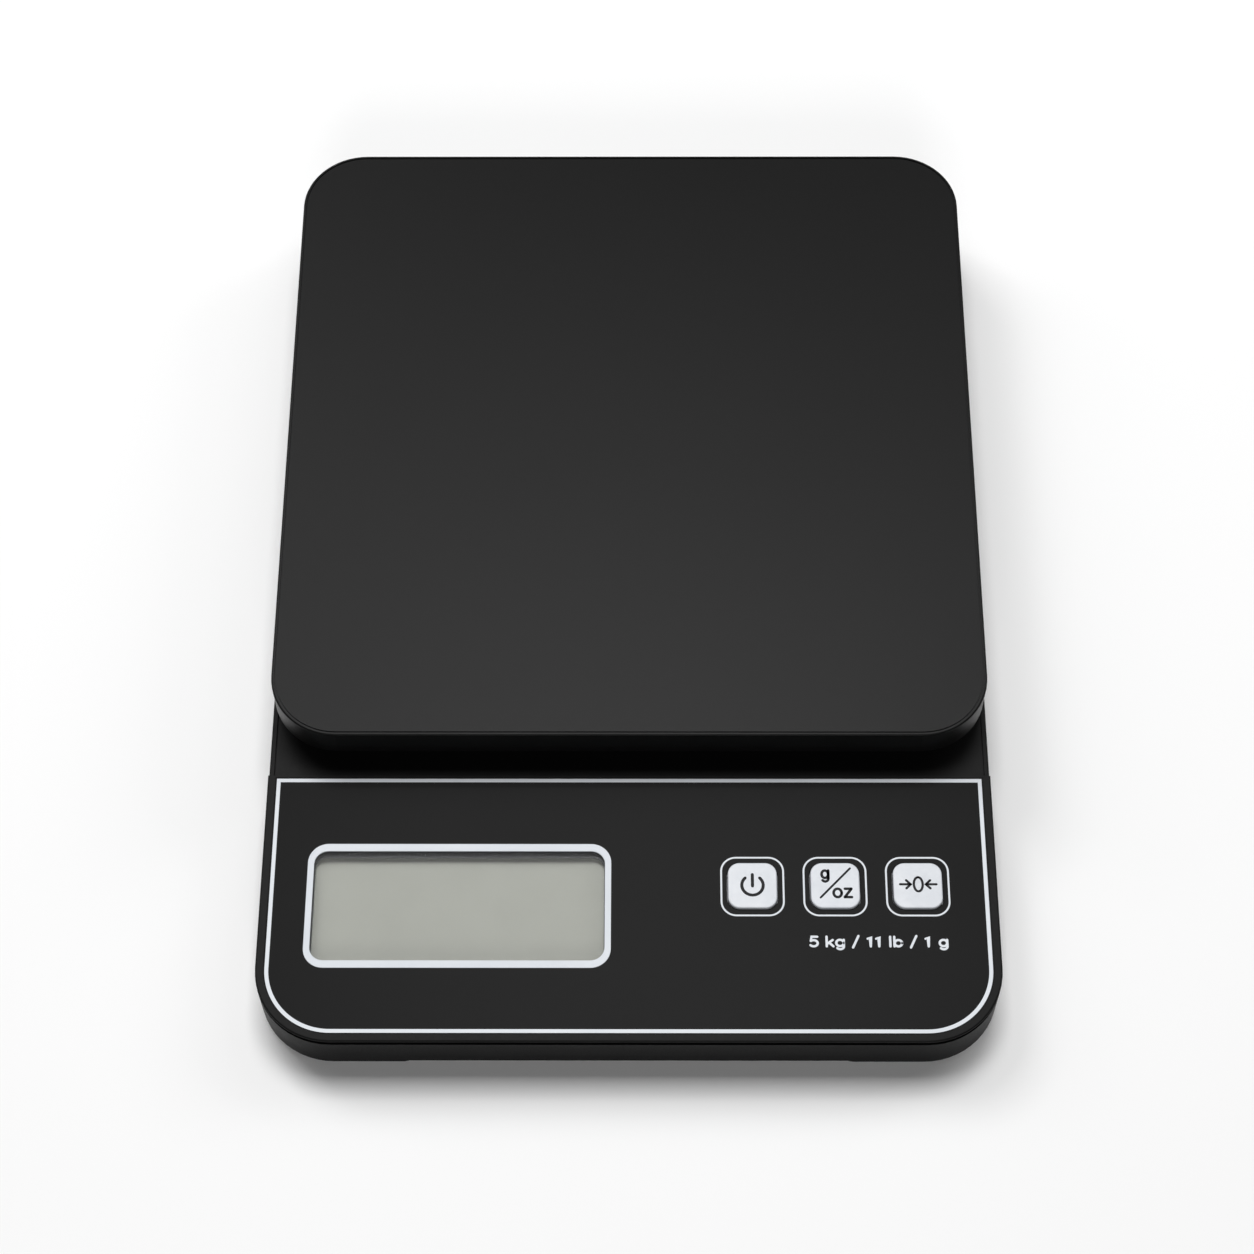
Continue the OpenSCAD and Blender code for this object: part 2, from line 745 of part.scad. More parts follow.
module capacitors() color("#2d3a63") {
    for (s = [-1, 1]) translate([button_x(2) - 4 + s * (capacitor_r + 1), parts_y, z_board_top])
        cylinder(r = capacitor_r, h = capacitor_h);
}

module resistors() color("#3b3230") {
    for (i = [0:5]) translate([button_x(0) + (i - 2) * resistor_pitch, resistor_y, z_board_top])
        cube(resistor);
}

module tact_switches() color("#4a4a4c") {
    for (i = [0:2]) translate([button_x(i), button_y, z_board_top]) difference() {
        translate([-switch_w / 2, -switch_w / 2, 0]) cube([switch_w, switch_w, switch_h]);
        translate([0, 0, switch_h - socket_d]) cylinder(r = plunger_r + thread_gap, h = socket_d + 1);
    }
}

module plunger(i) {
    foot = z_board_top + switch_h - socket_d + button_travel + head_gap;
    translate([button_x(i), button_y, foot]) cylinder(r = plunger_r, h = z_plunger_top - foot);
}

module plunger_power() color("#111111") plunger(0);
module plunger_units() color("#111111") plunger(1);
module plunger_tare() color("#111111") plunger(2);

module button(i) {
    flange_w = button_w + 2 * flange_over;
    inner_w = button_w - 2 * button_wall;
    post_r = plunger_r + 0.6;
    z_flange = z_under - seat_play - flange_t;
    z_cap = z_top + button_rise;
    translate([button_x(i), button_y, 0]) difference() {
        union() {
            translate([0, 0, z_flange]) soft_slab(button_w, button_w, button_r, z_cap - z_flange,
                button_edge);
            translate([0, 0, z_flange]) plate(flange_w, flange_w, button_r + flange_over, flange_t);
            translate([0, 0, z_plunger_top]) cylinder(r = post_r, h = z_flange - z_plunger_top + weld);
        }
        difference() {
            translate([0, 0, z_flange - 1]) plate(inner_w, inner_w, button_r - button_wall,
                z_cap - button_wall - z_flange + 1);
            cylinder(r = post_r, h = z_cap);
        }
    }
}

module button_power() color(white) button(0);
module button_units() color(white) button(1);
module button_tare() color(white) button(2);

// ---- Load cell and platter ----

module cell_screw_places(end) {
    for (sx = [-1, 1]) translate([end * cell_end + sx * cell_screw_pitch / 2, platter_y, 0]) children();
}

module load_cell() color("#b7babd") {
    difference() {
        translate([-cell_l / 2, platter_y - cell_w / 2, z_cell]) cube([cell_l, cell_w, cell_h]);
        for (sx = [-1, 1]) translate([sx * cell_bore_half, platter_y, z_cell + cell_h / 2])
            rotate([90, 0, 0]) cylinder(r = cell_bore_r, h = cell_w + 2, center = true);
        translate([-cell_bore_half, platter_y - cell_w, z_cell + cell_h / 2 - cell_slot_h / 2])
            cube([2 * cell_bore_half, 2 * cell_w, cell_slot_h]);
        for (end = [-1, 1]) cell_screw_places(end) translate([0, 0, z_cell - 1])
            cylinder(r = cell_screw_r + thread_gap, h = cell_h + 2);
    }
}

module strain_gauges() color("#c08a3e") {
    for (sx = [-1, 1], z = [z_cell_top, z_cell - gauge_t])
        translate([sx * cell_bore_half - gauge_w / 2, platter_y - gauge_w / 2, z])
            cube([gauge_w, gauge_w, gauge_t]);
}

module gauge_potting() color("#e8e8e2") {
    w = 2 * cell_bore_half + gauge_w + 2;
    difference() {
        translate([0, platter_y, z_cell_top]) plate(w, cell_w - 1, 2, potting_h);
        for (sx = [-1, 1])
            translate([sx * cell_bore_half - gauge_w / 2, platter_y - gauge_w / 2, z_cell_top - 1])
                cube([gauge_w, gauge_w, gauge_t + 1]);
    }
}

module load_cell_screws() color(steel) {
    cell_screw_places(-1) translate([0, 0, z_bottom + head_gap])
        screw(cell_screw_r, z_cell_top - z_bottom - head_t - 3 * head_gap, cell_head_r, head_t);
}

module cell_spacer() color("#c3c5c8") {
    difference() {
        translate([cell_end, platter_y, z_cell_top]) plate(spacer_l, cell_w, 1, z_hub - z_cell_top);
        cell_screw_places(1) translate([0, 0, z_cell_top - 1])
            cylinder(r = cell_screw_r + thread_gap, h = z_hub - z_cell_top + 2);
    }
}

module arm_outline() {
    reach = norm([peg_half, peg_half]);
    for (a = [45:90:315]) rotate(a) {
        translate([0, -arm_w / 2]) square([reach, arm_w]);
        translate([reach, 0]) circle(seat_r);
    }
    translate([-arm_w, -arm_w]) square([cell_l / 2 + arm_w + 2, 2 * arm_w]);
}

module platter_frame() color("#303032") {
    reach = norm([peg_half, peg_half]);
    rib_start = cell_l / 2 + 6;
    difference() {
        union() {
            translate([0, platter_y, z_arm]) linear_extrude(arm_t) arm_outline();
            translate([cell_end, platter_y, z_hub])
                plate(spacer_l + 2, cell_w + 4, 2, hub_drop + weld);
            for (a = [45:90:315], side = [-1, 1])
                translate([0, platter_y, z_arm_top - weld]) rotate(a)
                    translate([rib_start, side * (arm_w - frame_rib_w) / 2 - frame_rib_w / 2, 0])
                        cube([reach - rib_start - bush_flange_r - 1.5, frame_rib_w, frame_rib_h + weld]);
        }
        translate([0, platter_y, z_arm - 1]) at_corners(peg_half, peg_half)
            cylinder(r = bush_r + thread_gap, h = arm_t + 2);
        cell_screw_places(1) translate([0, 0, z_hub - 1])
            cylinder(r = cell_screw_r + head_gap, h = z_arm_top - z_hub + 2);
    }
}

module frame_screws() color(steel) {
    cell_screw_places(1) translate([0, 0, z_arm_top + frame_head_t]) rotate([180, 0, 0])
        screw(cell_screw_r, z_arm_top - z_cell - pad_h, cell_head_r, frame_head_t);
}

module platter_bushes() color("#3f3f41") {
    translate([0, platter_y, z_arm]) at_corners(peg_half, peg_half) difference() {
        union() {
            cylinder(r = bush_r, h = arm_t);
            translate([0, 0, -bush_flange_t]) cylinder(r = bush_flange_r, h = bush_flange_t);
            translate([0, 0, arm_t]) cylinder(r = bush_flange_r, h = bush_flange_t);
        }
        translate([0, 0, -bush_flange_t - 1])
            cylinder(r = peg_r + thread_gap, h = arm_t + 2 * bush_flange_t + 2);
    }
}

module platter() color(black) {
    inner_w = platter_w - 2 * platter_t;
    inner_l = platter_l - 2 * platter_t;
    translate([0, platter_y, 0]) difference() {
        union() {
            difference() {
                translate([0, 0, z_skirt]) soft_slab(platter_w, platter_l, platter_r, platter_h, edge_r);
                translate([0, 0, z_skirt - 1]) plate(inner_w, inner_l, platter_r - platter_t,
                    z_platter_under - z_skirt + 1);
            }
            for (s = [-1, 1]) {
                translate([-inner_w / 2 - weld, s * rib_half - rib_t / 2, z_platter_under - rib_h])
                    cube([inner_w + 2 * weld, rib_t, rib_h + weld]);
                translate([s * rib_half - rib_t / 2, -inner_l / 2 - weld, z_platter_under - rib_h])
                    cube([rib_t, inner_l + 2 * weld, rib_h + weld]);
            }
            at_corners(peg_half, peg_half) {
                translate([0, 0, z_bush_top]) cylinder(r = boss_r, h = z_platter_under - z_bush_top + weld);
                translate([0, 0, z_arm]) cylinder(r = peg_r, h = z_bush_top - z_arm + weld);
            }
        }
        ring_groove(platter_w, platter_l, platter_r, z_weigh, groove_in, groove_d);
    }
}

// ---- Batteries ----

module battery_door() color(black) {
    door_y = door_front_y + door_gap;
    tongue_y = door_y + door_d - latch_len;
    hook_root = door_ledge + hook_gap;
    difference() {
        union() {
            translate([-door_w / 2, door_y, z_bottom]) cube([door_w, door_d, shell_t]);
            for (sx = [-1, 1]) {
                translate([sx * hook_x - hook_w / 2, door_y, z_floor - weld])
                    cube([hook_w, hook_root, hook_t + hook_gap + weld]);
                translate([sx * hook_x - hook_w / 2, door_front_y - hook_l, z_floor + hook_gap])
                    cube([hook_w, hook_l + hook_root, hook_t]);
            }
        }
        for (sx = [-1, 1])
            translate([sx * (latch_w + latch_slot) / 2 - latch_slot / 2, tongue_y, z_bottom - 1])
                cube([latch_slot, latch_len + 1, shell_t + 2]);
        for (i = [0:3])
            translate([-latch_w / 2 + 2, tongue_y + (i + 0.75) * grip_pitch, z_bottom - 1])
                cube([latch_w - 4, grip_pitch / 2, 1 + grip_d]);
    }
}

module battery(flip) {
    rotate([0, flip ? -90 : 90, 0]) {
        cylinder(r = battery_d / 2, h = battery_len - battery_nub);
        cylinder(r = battery_d / 2 * battery_nub_share, h = battery_len);
    }
}

module battery_cells() color("#c9a25a") {
    start = bay_w / 2 - contact_t - spring_l;
    translate([-start, bay_y - battery_row, battery_z]) battery(false);
    translate([start, bay_y + battery_row, battery_z]) battery(true);
}

module battery_spring() {
    turns = 3.5;
    steps = 12;
    count = turns * steps;
    base_ring = 3.4;
    tip_ring = 2.2;
    travel = spring_l - 2 * spring_wire_r;
    tube([for (i = [0:count])
        let (f = i / count, a = 360 * i / steps, r = base_ring + (tip_ring - base_ring) * f)
            [spring_wire_r + travel * f, r * cos(a), r * sin(a)]], spring_wire_r);
}

module battery_springs() color(steel) {
    start = bay_w / 2 - contact_t;
    translate([-start, bay_y - battery_row, battery_z]) battery_spring();
    translate([start, bay_y + battery_row, battery_z]) rotate(180) battery_spring();
}

module contact_plate(dimple) {
    translate([0, -contact_w / 2, -contact_w / 2]) cube([contact_t, contact_w, contact_w]);
    if (dimple) translate([contact_t - 0.1, 0, 0]) rotate([0, 90, 0])
        cylinder(r = contact_nub_r, h = dimple_h + 0.1);
}

module solder_tab() {
    translate([-bay_t - tab_l, -tab_w / 2, terminal_rise - contact_t / 2])
        cube([bay_t + tab_l + contact_t / 2, tab_w, contact_t]);
}

module battery_plates() color(steel) {
    translate([-bay_w / 2, bay_y, battery_z]) for (s = [-1, 1]) translate([0, s * battery_row, 0]) {
        contact_plate(s > 0);
        solder_tab();
    }
}

module battery_bridge() color(steel) {
    translate([bay_w / 2, bay_y, battery_z]) rotate(180) {
        for (s = [-1, 1]) translate([0, s * battery_row, 0]) contact_plate(s > 0);
        translate([0, -battery_row, -2]) cube([contact_t, 2 * battery_row, 4]);
    }
}

// ---- Leads ----

module load_cell_wires() color("#b33a32") {
    for (i = [0:3]) {
        x = -5 + i * lead_step;
        y = platter_y - cell_w / 2;
        tube(smooth([[x, y + 0.4, z_cell_top + lead_r + 0.03], [x, y - 0.1, z_cell_top + lead_r + 0.03],
            [x, y - 0.9, z_cell_top], [x, y - 1.6, z_cell_top - 2.5], [x, y - 3, lead_z + 1.5],
            [x, y - 6, lead_z],
            [x, y - 15, lead_z], [x, y - 30, lead_z], [x + 4, y - 45, lead_z],
            [x + 4, strip_y + board_d / 2 + 8, lead_z],
            [x + 4, strip_y + board_d / 2 + 3, lead_z + 1.8],
            [x + 4, strip_y + board_d / 2 + 0.6, z_board_top + lead_r],
            [x + 4, strip_y + board_d / 2 - 2, z_board_top + lead_r]]), lead_r);
    }
}

module battery_wires() color("#2a2a2c") {
    for (s = [-1, 1]) {
        x = -42 - s * lead_step / 2;
        y = bay_y + s * battery_row;
        tube(smooth([[tab_x - lead_r - 0.05, y, terminal_z], [tab_x - 1.5, y - 0.5, terminal_z - 1.2],
            [tab_x - 3, y - 3, lead_z + 1], [tab_x - 6, y - 7, lead_z], [x, bay_y - 24, lead_z],
            [x - 2, platter_y, lead_z], [x - 2, platter_y - 45, lead_z],
            [x, strip_y + board_d / 2 + 8, lead_z], [x, strip_y + board_d / 2 + 3, lead_z + 1.8],
            [x, strip_y + board_d / 2 + 0.6, z_board_top + lead_r],
            [x, strip_y + board_d / 2 - 2, z_board_top + lead_r]]), lead_r);
    }
}

top_cover();
bottom_cover();
panel_overlay();
display_bezel();
display_lens();
lcd_glass();
lcd_holder();
zebra_strips();
main_board();
board_screws();
chip_blob();
crystal();
capacitors();
resistors();
tact_switches();
plunger_power();
plunger_units();
plunger_tare();
button_power();
button_units();
button_tare();
load_cell();
strain_gauges();
gauge_potting();
load_cell_screws();
cell_spacer();
platter_frame();
frame_screws();
platter_bushes();
platter();
battery_door();
battery_cells();
battery_springs();
battery_plates();
battery_bridge();
housing_screws();
rubber_feet();
load_cell_wires();
battery_wires();
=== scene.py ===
# Flat black kitchen scale: finishes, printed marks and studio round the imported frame.
# Metres, in the frame's own axes: +Z up, control strip towards -Y, table at z = 0.
from itertools import cycle
from math import radians
import bpy
import numpy as np
from mathutils import Matrix, Vector


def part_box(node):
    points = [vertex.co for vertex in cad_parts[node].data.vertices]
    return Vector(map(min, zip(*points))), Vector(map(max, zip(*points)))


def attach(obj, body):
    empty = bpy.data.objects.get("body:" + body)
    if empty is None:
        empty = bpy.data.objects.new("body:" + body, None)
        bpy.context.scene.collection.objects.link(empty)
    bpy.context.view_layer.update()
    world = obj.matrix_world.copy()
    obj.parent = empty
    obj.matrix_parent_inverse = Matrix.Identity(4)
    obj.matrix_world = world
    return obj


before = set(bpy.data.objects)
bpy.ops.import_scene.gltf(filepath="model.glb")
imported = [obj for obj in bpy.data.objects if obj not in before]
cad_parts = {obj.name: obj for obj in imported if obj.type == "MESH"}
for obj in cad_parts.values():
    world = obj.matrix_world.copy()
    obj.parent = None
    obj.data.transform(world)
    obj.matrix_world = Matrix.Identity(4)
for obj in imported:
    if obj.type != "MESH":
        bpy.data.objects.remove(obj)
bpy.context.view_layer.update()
mm = 0.001
print("frame loaded:", len(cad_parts), "nodes")

camera = {
    "lens": 82.51, "sensor": 36,          # mm
    "x": -0.2, "y": -340.2, "z": 614.3,   # mm
    "pitch": 61.416,                      # degrees below the horizon
    "turn": -0.604, "pivotY": -48.75,     # degrees round the upright line through (0, pivotY mm)
    "roll": -0.518,                       # degrees round its own line of sight
}


def makeCamera(c):
    # where it stands = turn round the pivot * shift to (x, y, z) * tilt * roll
    data = bpy.data.cameras.new("camera")
    data.lens = c["lens"]
    data.sensor_width = c["sensor"]
    data.clip_start = 0.01
    data.clip_end = 20
    cam = bpy.data.objects.new("camera", data)
    place = Matrix.Translation((c["x"] * mm, c["y"] * mm, c["z"] * mm))
    pivot = Matrix.Translation((0, c["pivotY"] * mm, 0))
    turned = pivot @ Matrix.Rotation(radians(-c["turn"]), 4, "Z") @ pivot.inverted()
    tilt = Matrix.Rotation(radians(90 - c["pitch"]), 4, "X") @ Matrix.Rotation(radians(c["roll"]), 4, "Z")
    cam.matrix_world = turned @ place @ tilt
    bpy.context.scene.collection.objects.link(cam)
    bpy.context.scene.camera = cam


makeCamera(camera)
print("camera placed")


def linear(hexText):
    # sRGB hex to linear and opaque: c/12.92 up to 0.04045, else ((c + 0.055)/1.055)^2.4
    c = np.array([int(hexText[i:i + 2], 16) for i in (1, 3, 5)]) / 255
    c = np.where(c <= 0.04045, c / 12.92, ((c + 0.055) / 1.055) ** 2.4)
    return (*c.tolist(), 1.0)


def addNode(tree, kind, settings=None, links=None):
    # settings: input socket to value; links: input socket to (node, output)
    node = tree.nodes.new(kind)
    for name, value in (settings or {}).items():
        node.inputs[name].default_value = value
    for name, (source, output) in (links or {}).items():
        tree.links.new(source.outputs[output], node.inputs[name])
    return node


def newMaterial(name, shader):
    # bare material and its Principled shader, whose constant values are set on its own sockets
    material = bpy.data.materials.new(name)
    material.use_nodes = True
    tree = material.node_tree
    tree.nodes.clear()
    surface = addNode(tree, "ShaderNodeBsdfPrincipled", shader)
    addNode(tree, "ShaderNodeOutputMaterial", {}, {"Surface": (surface, 0)})
    return material, surface


noiseSpan = (0.3, 0.7)   # most of a noise texture's values lie between these


def grainMaterial(name, shader, grain):
    # fine bumps and gloss on a scale of grain["size"] mm, and a shade that drifts over grain["cloud"] mm
    material, surface = newMaterial(name, shader)
    tree = material.node_tree
    where = addNode(tree, "ShaderNodeTexCoord")
    fine = addNode(tree, "ShaderNodeTexNoise",
                   {"Scale": 1 / (grain["size"] * mm), "Detail": 3.0, "Roughness": 0.6},
                   {"Vector": (where, "Object")})
    cloud = addNode(tree, "ShaderNodeTexNoise",
                    {"Scale": 1 / (grain["cloud"] * mm), "Detail": 2.0, "Roughness": 0.5},
                    {"Vector": (where, "Object")})
    tone = addNode(tree, "ShaderNodeValToRGB", {}, {"Fac": (cloud, 0)})
    for cell, position, shade in zip(tone.color_ramp.elements, noiseSpan, (grain["dark"], grain["light"])):
        cell.position = position
        cell.color = linear(shade)
    tree.links.new(tone.outputs[0], surface.inputs["Base Color"])
    gloss = addNode(tree, "ShaderNodeMapRange",
                    {"From Min": noiseSpan[0], "From Max": noiseSpan[1],
                     "To Min": grain["rough"][0], "To Max": grain["rough"][1]},
                    {"Value": (fine, 0)})
    tree.links.new(gloss.outputs[0], surface.inputs["Roughness"])
    bump = addNode(tree, "ShaderNodeBump", {"Strength": grain["bump"], "Distance": grain["depth"] * mm},
                   {"Height": (fine, 0)})
    tree.links.new(bump.outputs[0], surface.inputs["Normal"])
    return material


finishes = {}

# injection-moulded ABS with a spark-eroded mould texture: black and dry, with a broad, faint sheen
finishes["mouldedAbs"] = grainMaterial("mouldedAbs", {"IOR": 1.53, "Specular IOR Level": 0.08}, {
    "size": 0.45, "cloud": 60, "dark": "#101010", "light": "#121212",
    "rough": (0.42, 0.5), "bump": 0.25, "depth": 0.02})
# the platter's ABS from a finer mould: deeper black and a little smoother, with a sheen that fades slowly
finishes["platterAbs"] = grainMaterial("platterAbs", {"IOR": 1.53, "Specular IOR Level": 0.1}, {
    "size": 0.4, "cloud": 60, "dark": "#0a0a0a", "light": "#0c0c0c",
    "rough": (0.35, 0.41), "bump": 0.2, "depth": 0.015})
# screen-printed polycarbonate film, satin: flatter and a little smoother than the moulding
finishes["satinFilm"] = grainMaterial("satinFilm", {"IOR": 1.58, "Specular IOR Level": 0.025}, {
    "size": 0.3, "cloud": 40, "dark": "#141414", "light": "#161616",
    "rough": (0.3, 0.34), "bump": 0.1, "depth": 0.01})
# screen-printing ink, opaque cool white: dry with a faint edge
finishes["whiteInk"] = grainMaterial("whiteInk", {"IOR": 1.5}, {
    "size": 0.4, "cloud": 8, "dark": "#dadfe5", "light": "#e0e4e9",
    "rough": (0.5, 0.6), "bump": 0.1, "depth": 0.005})
# pad-printed black ink on the keys: matt, almost without sheen
finishes["blackInk"] = grainMaterial("blackInk", {"IOR": 1.5, "Specular IOR Level": 0.2}, {
    "size": 0.4, "cloud": 8, "dark": "#0e0e11", "light": "#121215",
    "rough": (0.5, 0.6), "bump": 0.1, "depth": 0.005})
# moulded white ABS frame, fine satin
finishes["whiteAbs"] = grainMaterial("whiteAbs", {"IOR": 1.53}, {
    "size": 0.5, "cloud": 20, "dark": "#cbd0d7", "light": "#d2d7dd",
    "rough": (0.4, 0.5), "bump": 0.1, "depth": 0.008})
# moulded pale grey key caps, satin
finishes["keyAbs"] = grainMaterial("keyAbs", {"IOR": 1.53}, {
    "size": 0.5, "cloud": 6, "dark": "#c9cdd3", "light": "#d4d7dc",
    "rough": (0.36, 0.46), "bump": 0.12, "depth": 0.01})
# die-cut closed-cell foam round the display, dark grey and dull; its dark grey is partly painted shade,
# standing in for the shadow in the window's recess
finishes["foamPaintedShade"] = grainMaterial("foamPaintedShade", {"IOR": 1.5, "Specular IOR Level": 0.3}, {
    "size": 0.25, "cloud": 6, "dark": "#3d3f41", "light": "#444648",
    "rough": (0.7, 0.85), "bump": 0.05, "depth": 0.01})
# other finishes, which show only from below or with the scale apart:
# dark and light shade, roughness from and to, metallic, IOR, grain in mm, bump
plainFinishes = {
    "paleAbs": ("#c9cac6", "#d2d3cf", (0.45, 0.55), 0.0, 1.53, 0.5, 0.15),   # moulded, milky and matt
    "siliconeRubber": ("#4a4b4d", "#55565a", (0.6, 0.7), 0.0, 1.41, 0.3, 0.2),   # moulded, dull and soft
    "fibreglassBoard": ("#1f5a34", "#25683d", (0.35, 0.45), 0.0, 1.55, 0.4, 0.2),   # lacquered laminate, waxy
    "zincSteel": ("#b4b6b8", "#c2c4c6", (0.28, 0.4), 1.0, None, 0.25, 0.1),   # plated, bright and bloomed
    "pottingEpoxy": ("#0e0e0f", "#151516", (0.2, 0.35), 0.0, 1.55, 0.8, 0.2),   # cast, glassy black
    "sleeveFilm": ("#1b2a52", "#223263", (0.3, 0.4), 0.0, 1.5, 0.8, 0.1),   # shrunk plastic, blue gleam
    "switchNylon": ("#2b2b2d", "#343436", (0.4, 0.5), 0.0, 1.53, 0.3, 0.15),   # moulded, satin
    "milledAluminium": ("#c3c5c8", "#d0d2d4", (0.3, 0.42), 1.0, None, 0.2, 0.15),   # milled, cool and satin
    "gaugeFoil": ("#b98a4a", "#c79a58", (0.3, 0.4), 0.0, 1.5, 0.2, 0.1),   # etched foil, warm copper tone
    "siliconeSealant": ("#dcdcd6", "#e6e6e0", (0.35, 0.5), 0.0, 1.41, 0.9, 0.3),   # squeezed, wet white
    "glassNylon": ("#1a1a1b", "#212122", (0.5, 0.6), 0.0, 1.53, 0.5, 0.25),   # moulded, dry and grainy
    "footRubber": ("#161616", "#1c1c1c", (0.65, 0.8), 0.0, 1.52, 0.5, 0.3),   # moulded, flat black
    "batteryWrap": ("#7c8086", "#8b8f96", (0.25, 0.35), 0.0, 1.5, 1.2, 0.1),   # printed film, silvery grey
    "redVinyl": ("#a32a22", "#b4332a", (0.35, 0.45), 0.0, 1.54, 0.4, 0.1),   # extruded, smooth
    "blackVinyl": ("#151516", "#1d1d1e", (0.35, 0.45), 0.0, 1.54, 0.4, 0.1),   # extruded, smooth
}
for name, (dark, light, rough, metal, ior, size, bump) in plainFinishes.items():
    shader = {"Metallic": metal}
    if ior:   # a metal keeps the default
        shader["IOR"] = ior
    finishes[name] = grainMaterial(name, shader, {
        "size": size, "cloud": 12, "dark": dark, "light": light, "rough": rough, "bump": bump, "depth": 0.01})

# cast acrylic window with an anti-reflection coat: clear, with a faint grey haze over the display below
finishes["clearAcrylic"] = newMaterial(
    "clearAcrylic", {"IOR": 1.49, "Alpha": 0.04, "Roughness": 0.08, "Base Color": linear("#a4a6a5")})[0]
# twisted-nematic display glass under its matt polariser: grey-green, faintly mottled
finishes["polariserGlass"] = grainMaterial("polariserGlass", {"IOR": 1.52, "Specular IOR Level": 0.25}, {
    "size": 2.0, "cloud": 14, "dark": "#9b9d94", "light": "#a0a299",
    "rough": (0.45, 0.5), "bump": 0.0, "depth": 0.001})

slotFinish = {
    "black_abs": "mouldedAbs", "panel_film": "satinFilm", "white_trim": "whiteAbs", "button_abs": "keyAbs",
    "clear_window": "clearAcrylic", "display_glass": "polariserGlass", "pale_abs": "paleAbs",
    "grey_elastomer": "siliconeRubber", "circuit_board": "fibreglassBoard", "steel": "zincSteel",
    "black_epoxy": "pottingEpoxy", "capacitor_sleeve": "sleeveFilm", "switch_housing": "switchNylon",
    "aluminium": "milledAluminium", "gauge_foil": "gaugeFoil", "white_sealant": "siliconeSealant",
    "frame_nylon": "glassNylon", "black_rubber": "footRubber", "battery_wrap": "batteryWrap",
    "red_lead": "redVinyl", "black_lead": "blackVinyl",
}
nodeFinish = {"platter": "platterAbs"}
for name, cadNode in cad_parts.items():
    for materialSlot in cadNode.material_slots:
        slotName = materialSlot.material.name.split(".")[0]
        materialSlot.material = finishes[nodeFinish.get(name, slotFinish[slotName])]
print("finishes made:", len(finishes))

creaseAngle = radians(35)   # an edge that turns further than this stays crisp


def meshPiece(name, points, faces, body, slotName, finish):
    # points in mm, faces as rows of four point numbers
    mesh = bpy.data.meshes.new(name)
    mesh.from_pydata((points * mm).tolist(), [], faces.tolist())
    mesh.materials.append(finishes[finish])
    mesh.shade_smooth()
    mesh.set_sharp_from_angle(angle=creaseAngle)
    piece = bpy.data.objects.new(name, mesh)
    bpy.context.scene.collection.objects.link(piece)
    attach(piece, body)


def loopPiece(name, points, body, slotName, finish):
    # points[u, v] = (x, y, z) in mm: section v carried round loop u, closed both ways, with a quad per cell
    nu, nv = points.shape[:2]
    u, v = np.arange(nu)[:, None], np.arange(nv)[None, :]
    nextU, nextV = (u + 1) % nu, (v + 1) % nv
    faces = np.stack([u * nv + v, nextU * nv + v, nextU * nv + nextV, u * nv + nextV], -1)
    meshPiece(name, points.reshape(-1, 3), faces.reshape(-1, 4), body, slotName, finish)


def joinParts(parts):
    # several (points, faces) pairs as one: each one's face numbers move up by the points before it
    starts = np.cumsum([0] + [len(points) for points, faces in parts])
    allPoints = np.concatenate([points for points, faces in parts])
    return allPoints, np.concatenate([faces + start for (points, faces), start in zip(parts, starts)])


def closedOutline(halfX, front, rear, radiusFront, radiusRear, steps):
    # rounded rectangle as base points and outward directions: base - d * direction is the line d inside it;
    # a corner is centre + r * (cos t, sin t) over a quarter turn, and a sharp one moves along its diagonal
    base, out = [], []
    for sx, y, r, start in ((1, rear, radiusRear, 0), (-1, rear, radiusRear, 90),
                            (-1, front, radiusFront, 180), (1, front, radiusFront, 270)):
        sy = 1 if y == rear else -1
        if r > 0:
            t = np.radians(start + np.linspace(0, 90, steps + 1))
            way = np.stack([np.cos(t), np.sin(t)], -1)
            base.append(np.array([sx * (halfX - r), y - sy * r]) + r * way)
            out.append(way)
        else:
            base.append(np.array([[sx * halfX, y]]))
            out.append(np.array([[sx, sy]], float))
    return np.concatenate(base), np.concatenate(out)


inkBevel = 0.04   # mm over which a printed line rises to its full thickness


def inkLoop(outline, width, z, height):
    # ink band along a closed outline: a low trapezium of (distance in, height) carried round it
    base, out = outline
    section = np.array([(0, z), (inkBevel, z + height), (width - inkBevel, z + height), (width, z)])
    flat = base[:, None, :] - section[None, :, 0, None] * out[:, None, :]
    high = np.broadcast_to(section[None, :, 1, None], (*flat.shape[:2], 1))
    return np.concatenate([flat, high], -1)


border = {"halfX": 81.35, "rear": -53.35, "front": -115.45, "corner": 15.3, "width": 0.9, "ink": 0.03}
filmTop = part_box("panel_overlay")[1].z / mm
borderLine = closedOutline(border["halfX"], border["front"], border["rear"], border["corner"],
                           radiusRear=0, steps=40)
loopPiece("border_line", inkLoop(borderLine, border["width"], filmTop, border["ink"]),
          "base", "white_trim", "whiteInk")

keyRing = {"halfX": 7.25, "halfY": 7.3, "corner": 3.6, "width": 0.42, "ink": 0.03}
keys = ("power", "units", "tare")
for key in keys:
    low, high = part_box("button_" + key)
    cx, cy = (low.x + high.x) / 2 / mm, (low.y + high.y) / 2 / mm
    base, out = closedOutline(keyRing["halfX"], cy - keyRing["halfY"], cy + keyRing["halfY"],
                              keyRing["corner"], keyRing["corner"], steps=16)
    loopPiece("key_ring_" + key, inkLoop((base + (cx, 0), out), keyRing["width"], filmTop, keyRing["ink"]),
              "base", "white_trim", "whiteInk")
print("lines printed on the film")
